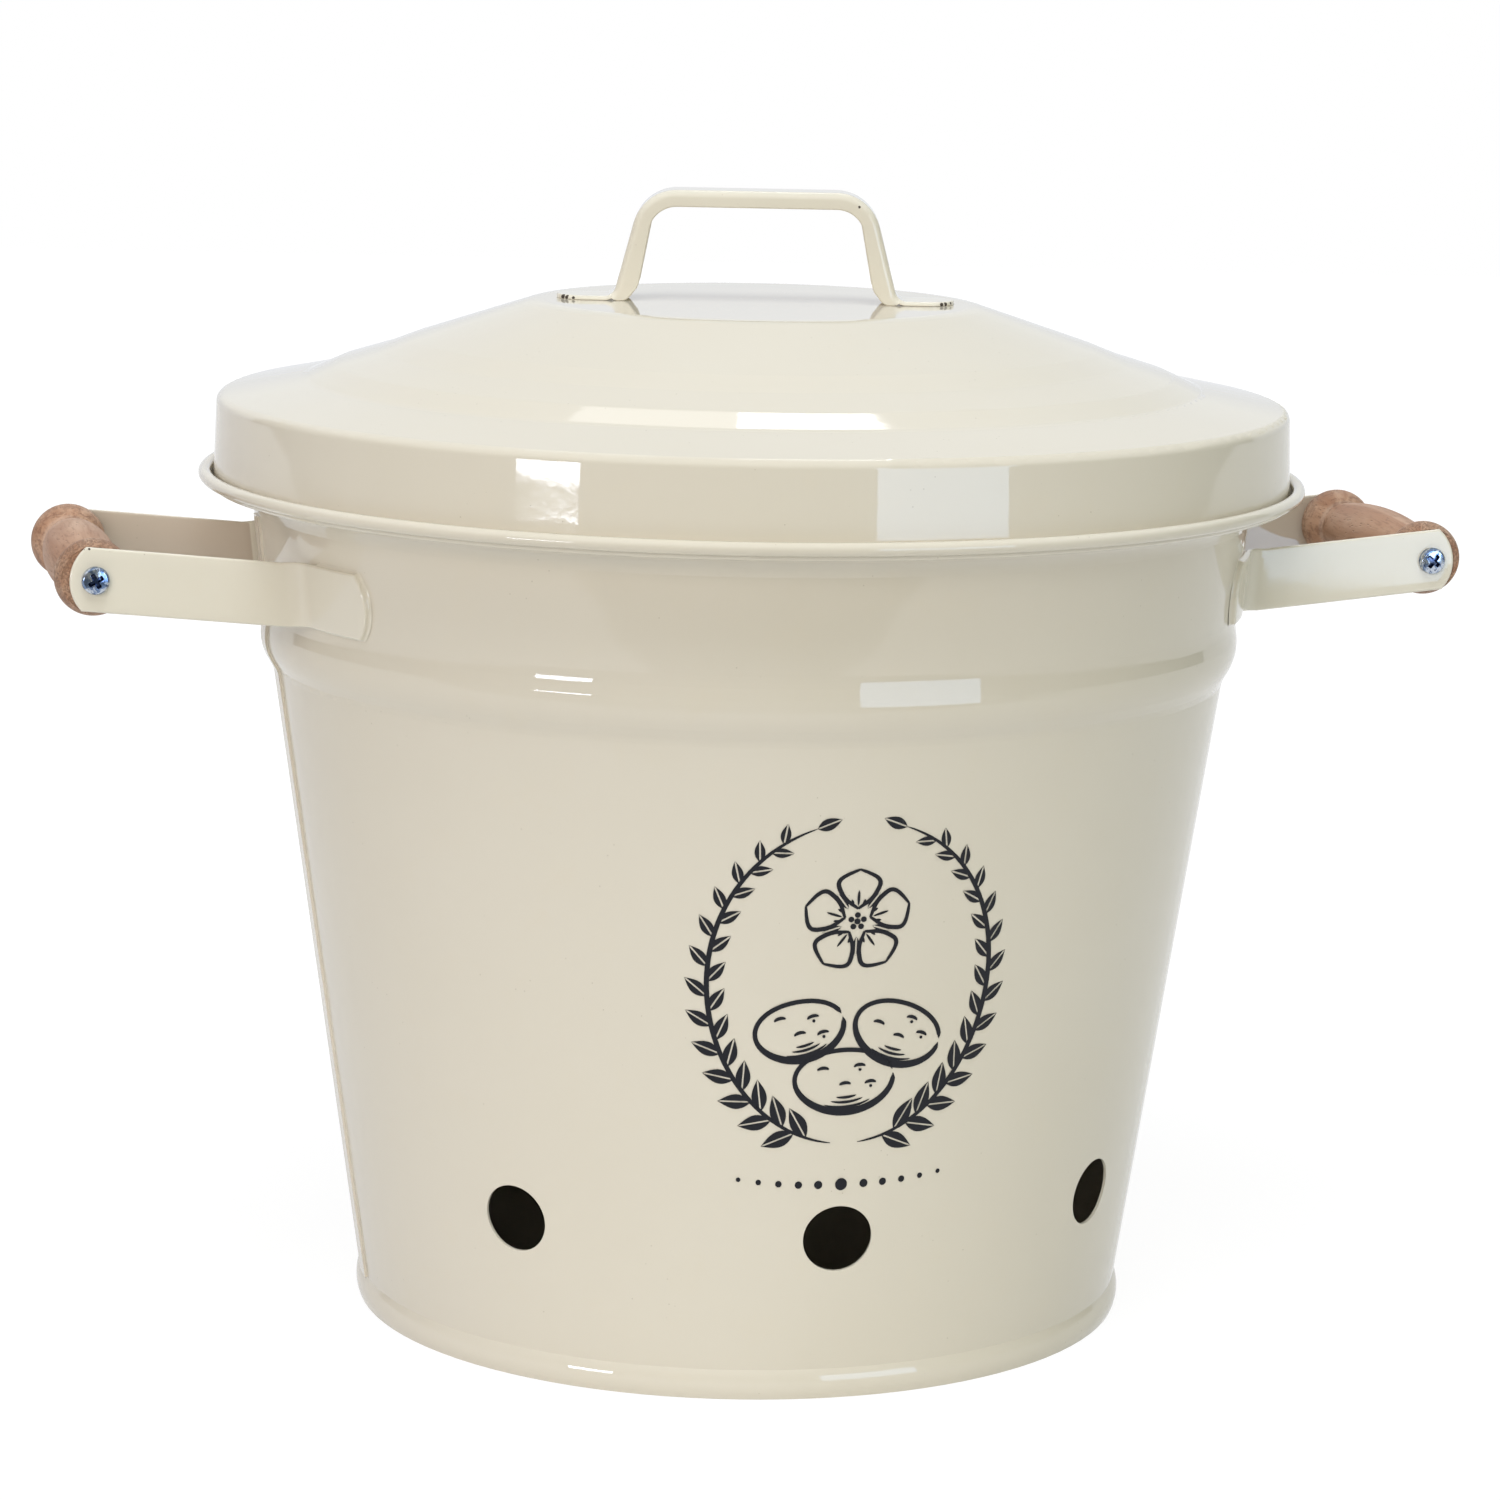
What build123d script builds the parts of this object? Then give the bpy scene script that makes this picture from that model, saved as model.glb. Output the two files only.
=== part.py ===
from build123d import *
import os
from math import atan2, cos, degrees, hypot, radians, sin, sqrt, tan

# A painted sheet-metal potato bin: a tapered bucket with a wider collar, a wired rim and a
# ledge that takes the skirt of a loose stepped lid. Two side handles carry turned wooden
# grips between pairs of flat straps. Millimetres, +Z up, the origin at the centre of the
# circle that the bin stands on, the side handles along X and the front vent towards -Y.

# --- sheet and fits -------------------------------------------------------------------
sheet = 0.8                 # painted steel sheet of the bin and the lid
weld_gap = 0.3              # paint and weld film between curved pieces of one body
pad_gap = 0.45              # the same behind the strap pads, because the collar leans
lid_side_gap = 0.6          # lid skirt to the upstand of the rim, all round
lid_seat_gap = 0.3          # lid skirt to the ledge it rests on

# --- bin wall -------------------------------------------------------------------------
rim_radius = 165.0          # outside of the wired rim
body_height = 253.2         # floor to the top of the wired rim
rim_wire_radius = 0.8
rim_wire_gap = 0.3          # wire to the sheet curled round it
rim_curl_angle = 285        # how far the sheet wraps round the wire
ledge_depth = 4.6           # top of the rim down to the ledge for the lid
flare_radius = 7.0          # collar into the underside of the ledge
ledge_corner_radius = 1.5   # ledge up into the upstand
rim_overhang = 15.6         # rim beyond the top of the collar
collar_height = 35.5        # underside of the ledge down to the neck
collar_draft = 3.72         # the collar is narrower at the neck by this much
neck_bend_radius = 14.0
bead_height = 9.7           # neck down to the crest of the bead
bead_rise = 1.4             # crest of the bead beyond the neck
bead_bend_radius = 14.0
shoulder_height = 7.9       # crest of the bead down to the top of the tapered wall
shoulder_inset = 4.43       # crest of the bead beyond the top of the wall
shoulder_bend_radius = 6.0
foot_radius = 114.75        # wall at floor level
foot_band_height = 8.6      # folded hem round the foot
foot_band_bulge = 1.7       # how far the hem stands out from the wall at floor level
foot_band_belly = 2.5       # and at its fullest
foot_band_belly_height = 3.6
foot_lip = 1.3              # inward turn that the floor pan stands on
vent_radius = 10.0
vent_height = 48.7
vent_spread = 45            # angle between neighbouring vents
vents_per_side = 3
seam_width = 9.0            # lock seam down one side of the wall
seam_thickness = 0.7

# --- floor pan ------------------------------------------------------------------------
floor_height = 7.0          # floor surface inside the bin
floor_corner_radius = 2.0

# --- lid ------------------------------------------------------------------------------
skirt_height = 25.6         # skirt edge up to the shoulder corner of the lid
skirt_draft = 1.0           # the skirt is narrower at the top by this much
lid_hem_height = 5.0
lid_corner_radius = 2.8
outer_tread_slope = 0.20    # rise per unit of radius of each sloping ring
middle_tread_slope = 0.303
inner_tread_slope = 0.329
outer_step_inset = 35.7     # rim to the middle of the outer pressed step
outer_step_width = 9.2
outer_step_height = 4.1
inner_step_inset = 22.4     # from the middle of one step to the middle of the other
inner_step_width = 9.6
inner_step_height = 3.7
step_bend_radius = 9.0
crown_margin = 6.8          # flat disc that carries the handle beyond the handle's feet
crown_bend_radius = 16.0
lid_turn = -13.5            # how the loose lid happens to be turned about Z

# --- lid handle -----------------------------------------------------------------------
strap_width = 18.4          # flat strip that both kinds of handle are made from
lid_handle_length = 118.4
lid_handle_height = 32.9
lid_handle_sheet = 1.3
lid_handle_depth = 4.9      # crown of the pressed channel to its edges
leg_spread = 84.4           # outside of the legs where they leave the feet
leg_lean = 14.8             # degrees off upright
grip_corner_radius = 13.3
foot_bend_radius = 3.5
channel_edge_radius = 1.0

# --- side handles ---------------------------------------------------------------------
strap_thickness = 1.5
grip_length = 86.0
handle_drop = 30.2          # top of the rim to the middle of the straps at the collar
strap_rise = 5.4            # degrees that the straps climb on their way out
handle_reach = 56.6         # bend of a strap to the axis of the grip, along the strap
strap_end = 7.2             # strap beyond the axis of the grip
strap_end_radius = 12.5
strap_bend_radius = 3.0
pad_length = 31.0           # strap that follows the collar, measured along it
grip_bead_radius = 11.0
grip_bead_inset = 6.6       # middle of the bead from the end of the grip
grip_end_radius = 9.4
grip_neck_inset = 13.2      # groove between bead and barrel, from the end of the grip
grip_neck_radius = 7.8
grip_barrel_radius = 10.2
screw_radius = 1.9
screw_fit = 0.1             # screw to the wood it is driven into
screw_hole_gap = 0.3        # screw to the strap it passes through
screw_depth = 14.0          # screw in the wood
screw_head_radius = 4.0
screw_head_height = 2.4
screw_head_edge_radius = 1.3
screw_recess_width = 1.0
screw_recess_span = 4.4
screw_recess_depth = 1.3

# --- sizes that follow ----------------------------------------------------------------
curl_inner = rim_wire_radius + rim_wire_gap
curl_outer = curl_inner + sheet
rim_centre = (rim_radius - curl_outer, body_height - curl_outer)
upstand_outer = rim_centre[0] - curl_inner
upstand_inner = upstand_outer - sheet
ledge_z = body_height - ledge_depth
collar_top_radius = rim_radius - rim_overhang
neck_radius = collar_top_radius - collar_draft
bead_radius = neck_radius + bead_rise
wall_top_radius = bead_radius - shoulder_inset
outer_step_radius = rim_radius - outer_step_inset
inner_step_radius = outer_step_radius - inner_step_inset
crown_radius = lid_handle_length / 2 + crown_margin
handle_height = body_height - handle_drop
neck_z = ledge_z - sheet - collar_height
bead_z = neck_z - bead_height
wall_top_z = bead_z - shoulder_height
wall_slope = (wall_top_radius - foot_radius) / wall_top_z
collar_slope = collar_draft / collar_height


def wall_radius(z):
    """Outer radius of the tapered wall at a height below the shoulder."""
    return foot_radius + wall_slope * z


def collar_radius(z):
    """Outer radius of the collar at a height above its neck."""
    return neck_radius + collar_slope * (z - neck_z)


def parallel(points, distance):
    """Polyline moved sideways to its left by distance, with mitred corners."""
    normals = []
    for (x0, y0), (x1, y1) in zip(points, points[1:]):
        run = hypot(x1 - x0, y1 - y0)
        normals.append(((y0 - y1) / run, (x1 - x0) / run))
    moved = []
    for i, (x, y) in enumerate(points):
        ax, ay = normals[max(i - 1, 0)]
        bx, by = normals[min(i, len(normals) - 1)]
        scale = distance / (1 + ax * bx + ay * by)
        moved.append((x + (ax + bx) * scale, y + (ay + by) * scale))
    return moved


def turns(points):
    """+1 for each corner of a polyline that turns left and -1 for each that turns right."""
    signs = []
    for (x0, y0), (x1, y1), (x2, y2) in zip(points, points[1:], points[2:]):
        cross = (x1 - x0) * (y2 - y1) - (y1 - y0) * (x2 - x1)
        signs.append(1 if cross > 0 else -1)
    return signs


def strip(points, radii, left, right=0.0):
    """Face between two parallels of a filleted polyline, left and right of it by these distances."""
    sides = []
    for distance in (left, -right):
        rounded = [r - s * distance for r, s in zip(radii, turns(points))]
        sides.append(FilletPolyline(*parallel(points, distance), radius=rounded))
    near = Line(sides[0] @ 0, sides[1] @ 0)
    far = Line(sides[0] @ 1, sides[1] @ 1)
    return make_face([sides[0].edges(), far, sides[1].edges(), near])


def sector(centre, inner, outer, start, size):
    """Ring segment between two radii, from the start angle through size degrees."""
    arcs = [CenterArc(centre, r, start, size) for r in (inner, outer)]
    ends = [Line(arcs[0] @ k, arcs[1] @ k) for k in (0, 1)]
    return make_face([arcs[0], ends[1], arcs[1], ends[0]])


def above(z, top=600.0, reach=400.0):
    """Half plane above z, to trim a section to a flat edge."""
    return Pos(0, (z + top) / 2) * Rectangle(2 * reach, top - z)


def turned(section):
    """Solid of revolution about Z of a section drawn as (radius, height)."""
    return revolve(Plane.XZ * section, Axis.Z)


# --- bin wall: tapered sheet, shoulder, bead, collar, ledge, curled rim, folded foot ---
wall_run = [
    (wall_radius(-2 * sheet), -2 * sheet),
    (wall_top_radius, wall_top_z),
    (bead_radius, bead_z),
    (neck_radius, neck_z),
    (collar_top_radius, ledge_z - sheet),
    (upstand_outer, ledge_z - sheet),
    (upstand_outer, rim_centre[1]),
]
step_bends = [shoulder_bend_radius, bead_bend_radius, neck_bend_radius]
wall_bends = step_bends + [flare_radius, ledge_corner_radius]
wall_sheet = strip(wall_run, wall_bends, left=sheet) & above(0)

foot_band = make_face([
    Line((foot_radius - sheet / 2, 0), (foot_radius + foot_band_bulge, 0)),
    ThreePointArc(
        (foot_radius + foot_band_bulge, 0),
        (foot_radius + foot_band_belly, foot_band_belly_height),
        (wall_radius(foot_band_height), foot_band_height),
    ),
    Line((wall_radius(foot_band_height), foot_band_height), (foot_radius - sheet / 2, 0)),
])
foot_inside = foot_radius - sheet
lip = Pos(foot_inside - foot_lip / 2 + sheet / 2, sheet / 2) * Rectangle(foot_lip + sheet, sheet)
rim_curl = sector(rim_centre, curl_inner, curl_outer, 180 - rim_curl_angle, rim_curl_angle)
bin_wall = turned(wall_sheet + foot_band + lip + rim_curl)

seam_run = [
    (wall_radius(foot_band_height), foot_band_height),
    *wall_run[1:4],
    (collar_radius(ledge_z - sheet - flare_radius), ledge_z - sheet - flare_radius),
]
seam = strip(seam_run, step_bends, left=sheet / 2, right=seam_thickness)
bin_wall += Rot(0, 0, 180) * extrude(Plane.XZ * seam, seam_width / 2, both=True)

vent_lean = degrees(atan2(wall_slope, 1))
for side in (-90, 90):
    for i in range(vents_per_side):
        angle = side + (i - (vents_per_side - 1) / 2) * vent_spread
        punch = Pos(wall_radius(vent_height), 0, vent_height) * Rot(0, 90 + vent_lean, 0)
        bin_wall -= Rot(0, 0, angle) * punch * Cylinder(vent_radius, 20 * sheet)

rim_wire = Pos(0, 0, rim_centre[1]) * Torus(rim_centre[0], rim_wire_radius)

# --- floor pan: a shallow dish that stands upside down on the lip of the wall ----------
pan_edge = foot_inside - weld_gap
pan_run = [
    (0, floor_height),
    (pan_edge + wall_slope * floor_height, floor_height),
    (pan_edge - wall_slope * 2 * sheet, -2 * sheet),
]
base_pan = turned(strip(pan_run, [floor_corner_radius], left=0, right=sheet) & above(sheet))

# --- lid: stepped dome with a skirt that stands on the ledge inside the rim ------------
skirt_edge_z = ledge_z + lid_seat_gap
skirt_edge_radius = upstand_inner - lid_side_gap
lid_corner = (skirt_edge_radius - skirt_draft, skirt_edge_z + skirt_height)
dome = [lid_corner]
rings = (
    (outer_step_radius, outer_step_width, outer_step_height, outer_tread_slope),
    (inner_step_radius, inner_step_width, inner_step_height, middle_tread_slope),
)
for radius, width, height, slope in rings:
    r0, z0 = dome[-1]
    r1 = radius + width / 2
    dome.append((r1, z0 + (r0 - r1) * slope))
    dome.append((r1 - width, dome[-1][1] + height))
crown_z = dome[-1][1] + (dome[-1][0] - crown_radius) * inner_tread_slope
lid_run = [
    (skirt_edge_radius + skirt_draft / skirt_height, skirt_edge_z - 1),
    *dome,
    (crown_radius, crown_z),
    (0, crown_z),
]
lid_bends = [lid_corner_radius] + [step_bend_radius] * 4 + [crown_bend_radius]
lid_sheet = strip(lid_run, lid_bends, left=sheet) & above(skirt_edge_z)
hem_run = [
    (skirt_edge_radius - sheet + skirt_draft / skirt_height, skirt_edge_z - 1),
    (skirt_edge_radius - sheet - skirt_draft * lid_hem_height / skirt_height,
     skirt_edge_z + lid_hem_height),
]
hem_points = hem_run + parallel(hem_run, sheet)[::-1]
hem = make_face(Polyline(*hem_points, close=True)) & above(skirt_edge_z)
lid_shell = turned(lid_sheet + hem)

# --- lid handle: a pressed channel that flattens into two welded feet ------------------
leg_foot = (leg_spread / 2, lid_handle_sheet)
leg_top_x = leg_spread / 2 - tan(radians(leg_lean)) * (lid_handle_height - lid_handle_sheet)
half_run = [
    (lid_handle_length / 2, lid_handle_sheet),
    leg_foot,
    (leg_top_x, lid_handle_height),
]
handle_run = half_run + [(-x, z) for x, z in half_run[::-1]]
handle_bends = [foot_bend_radius, grip_corner_radius, grip_corner_radius, foot_bend_radius]
handle_side = strip(handle_run, handle_bends, left=lid_handle_depth) & above(0)
hollow_run = parallel(handle_run, lid_handle_sheet)
hollow_bends = [
    r - s * lid_handle_sheet for r, s in zip(handle_bends, turns(handle_run))
]
hollow_side = strip(hollow_run, hollow_bends, left=lid_handle_depth) & above(0)
handle_plan = Plane.XZ * handle_side
lid_handle = extrude(handle_plan, strap_width / 2, both=True)
lid_handle &= extrude(SlotOverall(lid_handle_length, strap_width), 2 * lid_handle_height)
crest = Plane.XZ * FilletPolyline(*handle_run, radius=handle_bends)


def is_outer_edge(edge):
    """True for the long outer edges of the channel and the upper edges of its feet."""
    middle = edge @ 0.5
    on_rail = crest.distance_to(Vector(middle.X, 0, middle.Z)) < 0.01 and abs(middle.Y) > 1
    at_tip = abs(abs(middle.X) - lid_handle_length / 2) < 0.01
    return on_rail or at_tip and abs(middle.Z - lid_handle_sheet) < 0.01


outer_edges = [edge for edge in lid_handle.edges() if is_outer_edge(edge)]
lid_handle = fillet(outer_edges, min(channel_edge_radius, lid_handle_sheet - weld_gap))
channel = extrude(Plane.XZ * hollow_side, strap_width / 2 - lid_handle_sheet, both=True)
lid_handle -= channel
lid_handle = Pos(0, 0, crown_z) * Rot(0, 0, lid_turn) * lid_handle

# --- side handles: two bent straps, a turned grip and its two screws -------------------
# Each handle is drawn in a plane square to the collar, with x from the axis of the bin
# outwards and y along the grip. The collar leans out, so that plane falls as it leaves,
# and the arms of the straps climb from it.
pad_radius = collar_radius(handle_height) * hypot(1, collar_slope) + pad_gap
strap_mid = grip_length / 2 + strap_thickness / 2
pad_mid = pad_radius + strap_thickness / 2
bend_mid = strap_bend_radius + strap_thickness / 2
bend_centre_y = strap_mid + bend_mid
bend_centre_x = sqrt((pad_mid + bend_mid) ** 2 - bend_centre_y ** 2)
bend_angle = degrees(atan2(bend_centre_y, bend_centre_x))
pad_angle = degrees(pad_length / pad_mid)
collar_lean = degrees(atan2(collar_slope, 1))
arm_climb = strap_rise + collar_lean
arm_place = Pos(bend_centre_x, 0, 0) * Rot(0, -arm_climb, 0)


def handle_plane(side):
    """Drawing plane of one side handle: side is +1 for right and -1 for left."""
    tilt = radians(collar_lean)
    origin = (0, 0, handle_height + collar_radius(handle_height) * collar_slope)
    return Plane(origin, x_dir=(side * cos(tilt), 0, -sin(tilt)),
                 z_dir=(side * sin(tilt), 0, cos(tilt)))


def end_cutter(radius):
    """What rounds the end of a strap that runs along +x and ends at x = 0, seen along y."""
    block = Box(2 * radius, 6 * strap_thickness, 2 * strap_width)
    disc = Pos(-radius, 0, 0) * Rot(90, 0, 0) * Cylinder(radius, 8 * strap_thickness)
    return block - disc


def make_strap():
    """Strap on the +y side: straight arm, bend, and a pad that follows the collar."""
    arm_length = handle_reach + strap_end
    half_width = strap_width / 2
    skew = half_width * tan(radians(arm_climb))
    arm_side = Polyline(
        (-skew, half_width), (skew, -half_width), (arm_length, -half_width),
        (arm_length, half_width), close=True)
    arm = extrude(Plane.XZ * make_face(arm_side), strap_thickness / 2, both=True)
    arm -= Pos(arm_length, 0, 0) * end_cutter(strap_end_radius)
    hole = Rot(90, 0, 0) * Cylinder(screw_radius + screw_hole_gap, 4 * strap_thickness)
    arm -= Pos(handle_reach, 0, 0) * hole
    bend = sector((bend_centre_x, bend_centre_y), strap_bend_radius,
                  strap_bend_radius + strap_thickness, 180 + bend_angle, 90 - bend_angle)
    pad = sector((0, 0), pad_radius, pad_radius + strap_thickness, bend_angle, pad_angle)
    half_height = half_width / cos(radians(arm_climb))
    foot = extrude(bend + pad, half_height, both=True)
    pad_tip = Rot(0, 0, bend_angle + pad_angle) * Pos(pad_mid, 0, 0) * Rot(0, 0, 90)
    foot -= pad_tip * end_cutter(strap_end_radius)
    return Pos(0, strap_mid, 0) * arm_place * arm + foot


def make_grip():
    """Turned wooden grip along y: two end beads, two grooves and a barrel between them."""
    half = grip_length / 2
    groove = (grip_neck_radius, half - grip_neck_inset)
    bead = (grip_bead_radius, half - grip_bead_inset)
    end = (grip_end_radius, half)
    mirror_y = [(x, -y) for x, y in (groove, bead, end)]
    outline = [
        Line((0, half), end),
        ThreePointArc(end, bead, groove),
        ThreePointArc(groove, (grip_barrel_radius, 0), mirror_y[0]),
        ThreePointArc(*mirror_y),
        Line(mirror_y[2], (0, -half)),
        Line((0, -half), (0, half)),
    ]
    grip = revolve(make_face(outline), Axis.Y)
    pilot = Cylinder(screw_radius + screw_fit, 2 * (screw_depth + 1))
    for y in (-half, half):
        grip -= Pos(0, y, 0) * Rot(90, 0, 0) * pilot
    return arm_place * Pos(handle_reach, 0, 0) * grip


def make_screw():
    """Pan-head screw on the +y side, driven into the grip, with a cross recess."""
    head = Cylinder(screw_head_radius, screw_head_height)
    head = fillet(head.edges().group_by(Axis.Z)[-1], screw_head_edge_radius)
    recess = Box(screw_recess_span, screw_recess_width, 2 * screw_recess_depth)
    recess += Box(screw_recess_width, screw_recess_span, 2 * screw_recess_depth)
    head -= Pos(0, 0, screw_head_height / 2) * Rot(0, 0, 20) * recess
    shank_length = screw_depth + strap_thickness
    shank = Pos(0, 0, -(screw_head_height + shank_length) / 2)
    screw = head + shank * Cylinder(screw_radius, shank_length)
    seat = grip_length / 2 + strap_thickness + screw_head_height / 2
    return arm_place * Pos(handle_reach, seat, 0) * Rot(-90, 0, 0) * screw


strap, grip, screw = make_strap(), make_grip(), make_screw()
parts = {
    "bin_wall": bin_wall,
    "rim_wire": rim_wire,
    "base_pan": base_pan,
    "lid_shell": lid_shell,
    "lid_handle": lid_handle,
}
for name, side in (("left", -1), ("right", 1)):
    place = handle_plane(side).location
    parts[f"{name}_grip"] = place * grip
    for end, flip in (("front", -side), ("rear", side)):
        hand = [piece if flip > 0 else mirror(piece, Plane.XZ) for piece in (strap, screw)]
        parts[f"{name}_strap_{end}"] = place * hand[0]
        parts[f"{name}_screw_{end}"] = place * hand[1]

os.makedirs("parts", exist_ok=True)
for name, piece in parts.items():
    solid = piece.solid() if len(piece.solids()) == 1 else piece
    export_step(solid, f"parts/{name}.step")
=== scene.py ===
from math import asin, atan2, cos, hypot, pi, radians, sin, sqrt, tan

import bmesh
import bpy
import numpy as np
from mathutils import Matrix, Vector


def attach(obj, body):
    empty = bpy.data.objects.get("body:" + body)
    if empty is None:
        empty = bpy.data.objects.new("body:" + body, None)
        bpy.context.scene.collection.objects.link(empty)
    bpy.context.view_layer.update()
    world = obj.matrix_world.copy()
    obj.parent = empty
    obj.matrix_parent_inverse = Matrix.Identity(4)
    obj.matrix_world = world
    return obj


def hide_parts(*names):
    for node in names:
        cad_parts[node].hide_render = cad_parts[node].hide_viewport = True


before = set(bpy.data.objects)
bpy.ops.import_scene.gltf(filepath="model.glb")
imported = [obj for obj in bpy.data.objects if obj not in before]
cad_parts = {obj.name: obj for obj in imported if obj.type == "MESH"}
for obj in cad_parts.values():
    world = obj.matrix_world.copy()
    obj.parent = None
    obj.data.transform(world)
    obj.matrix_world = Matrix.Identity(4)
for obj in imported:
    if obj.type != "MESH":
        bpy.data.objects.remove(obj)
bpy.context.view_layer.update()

# A painted sheet-metal potato bin with a stepped lid and wooden side grips. Sizes are in
# millimetres until a mesh is written in metres. +Z is up, the side grips lie along Y at the
# ends of X, and the front of the bin faces -Y.
MM = 0.001

# --- sizes: wall and collar ------------------------------------------------------------
FOOT_RADIUS = 114.75        # tapered wall at floor level
WALL_SLOPE = 0.14330        # growth of its radius per unit of height
NECK_Z = 212.3              # narrowest part of the collar
NECK_RADIUS = 145.68
COLLAR_SLOPE = 3.72 / 35.5

# --- sizes: straps ---------------------------------------------------------------------
HANDLE_Z = 223.0            # middle of the straps where they meet the collar
STRAP_WIDTH = 18.4
STRAP_THICKNESS = 1.5
STRAP_CLIMB = 5.4           # degrees that the arms rise on their way out
STRAP_EDGE = 0.70           # rounding of the sheared edges under the paint
STRAP_END = 12.5            # radius of the rounded ends
BARE_BEND = 3.0             # inside radius between arm and pad, of the bare strip
STRAP_BEND = 6.5            # the same with the paint on it
HANDLE_REACH = 56.6         # bend of the bare strip to the axis of the grip, along the arm
STRAP_TAIL = 7.2            # arm beyond the axis of the grip
PAD_LENGTH = 31.0           # pad of the bare strip, along its middle
PAD_GAP = 0.45              # pad to the collar
PAD_FILL = 0.40             # paint in that gap
PAD_SINK = 0.04             # fall of the pad per unit of length, towards its end

# --- sizes: grips and screws -----------------------------------------------------------
GRIP_HALF = 43.0            # half of the length of a grip
GRIP_END_RADIUS = 9.4
BEAD_RADIUS, BEAD_Y = 11.0, 36.4
GROOVE_RADIUS, GROOVE_Y = 7.8, 29.8
BARREL_RADIUS = 10.2
NICK_DEPTH, NICK_WIDTH = 0.28, 0.7      # cut of the turning tool in each groove
SCREW_RADIUS = 4.0
SCREW_HEIGHT = 2.4
SCREW_TOP = 3.1             # radius of the slightly domed top of the head
SCREW_DOME = 0.35           # height of that dome
SCREW_SHOULDER = 1.2        # height of the rounded shoulder below it
CROSS_REACH, CROSS_HALF, CROSS_DEPTH = 2.3, 0.52, 1.25

# --- sizes: lid handle, pressed from the same strip as the straps ------------------------
CROWN_Z = 303.256           # flat top of the lid
LID_TURN = radians(-13.5)   # how the loose lid happens to be turned
BAR_SHEET = 1.3
BAR_DEPTH = 4.9             # web to the edges of the flanges, along the top
LEG_EXTRA = 2.0             # growth of that depth down to the feet
BAR_HEIGHT = 32.9
BAR_HALF_LENGTH = 59.2      # middle of the bar to the tip of a foot
LEG_FOOT = 42.2             # middle of the bar to the outside of a leg, at the foot
LEG_LEAN = radians(14.8)
FOOT_BEND, BAR_BEND = 3.5, 13.3
BAR_SHOULDER = 2.3          # rounding between web and flange
FLANGE_EDGE = 0.3           # rounding of the edges of the flanges

# --- sizes: print ----------------------------------------------------------------------
PRINT_Z = 122.0             # middle of the print
PRINT_SCALE = 1.08
INK_FILM = 0.10
PEN_SHARE = 0.62            # width of a pen line to either side, as a share of the one asked for


# --- colours ---------------------------------------------------------------------------
def paint(red, green, blue, alpha=1.0):
    """Linear colour of an sRGB triple given from 0 to 255."""
    parts = [value / 255 for value in (red, green, blue)]
    linear = [p / 12.92 if p <= 0.04045 else ((p + 0.055) / 1.055) ** 2.4 for p in parts]
    return (*linear, alpha)


CREAM = paint(222, 214, 199)
CREAM_PALE = paint(230, 223, 208)
# painted shade and painted warm bounce of the wood, for the strap faces towards the grips
CREAM_PAINTED_SHADE = paint(198, 183, 166)
CREAM_DEEP = paint(216, 207, 189)
CREAM_WARM = paint(222, 211, 190)
SPECK = paint(150, 136, 112)
BARE_STEEL = paint(66, 54, 44)
INK = paint(16, 18, 27)
WHITE = (1.0, 1.0, 1.0, 1.0)


# --- shader expressions ----------------------------------------------------------------
class Field:
    """A number, vector or colour that changes over a surface, with arithmetic on numbers."""

    def __init__(self, shading, socket):
        self.shading = shading
        self.socket = socket

    def math(self, operation, *terms):
        values = dict(enumerate(terms))
        return self.shading.add("ShaderNodeMath", {"operation": operation}, values)["Value"]

    def __add__(self, other):
        return self.math("ADD", self, other)

    def __sub__(self, other):
        return self.math("SUBTRACT", self, other)

    def __mul__(self, other):
        return self.math("MULTIPLY", self, other)

    def __truediv__(self, other):
        return self.math("DIVIDE", self, other)

    def higher(self, other):
        return self.math("MAXIMUM", self, other)

    def size(self):
        return self.math("ABSOLUTE", self)

    def ramp(self, low, high):
        """0 below low, 1 above high and a smooth rise between; low may be the larger one."""
        settings = {"interpolation_type": "SMOOTHSTEP"}
        values = {"Value": self, "From Min": low, "From Max": high}
        return self.shading.add("ShaderNodeMapRange", settings, values)["Result"]

    def with_vector(self, operation, vector):
        values = {0: self, 1: tuple(vector)}
        return self.shading.add("ShaderNodeVectorMath", {"operation": operation}, values)["Value"]

    def away(self, point):
        """Distance of a vector from a point."""
        return self.with_vector("DISTANCE", point)

    def along(self, direction):
        """Part of a vector that lies along a direction."""
        return self.with_vector("DOT_PRODUCT", direction)


class Shading:
    """A node tree under construction: every node comes from add."""

    def __init__(self, owner):
        owner.use_nodes = True
        self.nodes = owner.node_tree.nodes
        self.links = owner.node_tree.links
        self.nodes.clear()

    def add(self, kind, settings=None, values=None):
        """Add a node: its settings first, then its sockets' values or links. Returns its
        outputs."""
        node = self.nodes.new(kind)
        for key, value in (settings or {}).items():
            setattr(node, key, value)
        for key, value in (values or {}).items():
            if isinstance(value, Field):
                self.links.new(value.socket, node.inputs[key])
            else:
                node.inputs[key].default_value = value
        return {output.name: Field(self, output) for output in node.outputs if output.enabled}

    def axes(self, vector):
        """The three components of a vector."""
        parts = self.add("ShaderNodeSeparateXYZ", None, {"Vector": vector})
        return parts["X"], parts["Y"], parts["Z"]

    def vector(self, x, y, z):
        return self.add("ShaderNodeCombineXYZ", None, {"X": x, "Y": y, "Z": z})["Vector"]

    def blend(self, factor, first, second):
        """Mix of two colours: first where factor is 0 and second where it is 1."""
        settings = {"data_type": "RGBA", "clamp_factor": True}
        return self.add("ShaderNodeMix", settings, {0: factor, 6: first, 7: second})["Result"]


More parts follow.
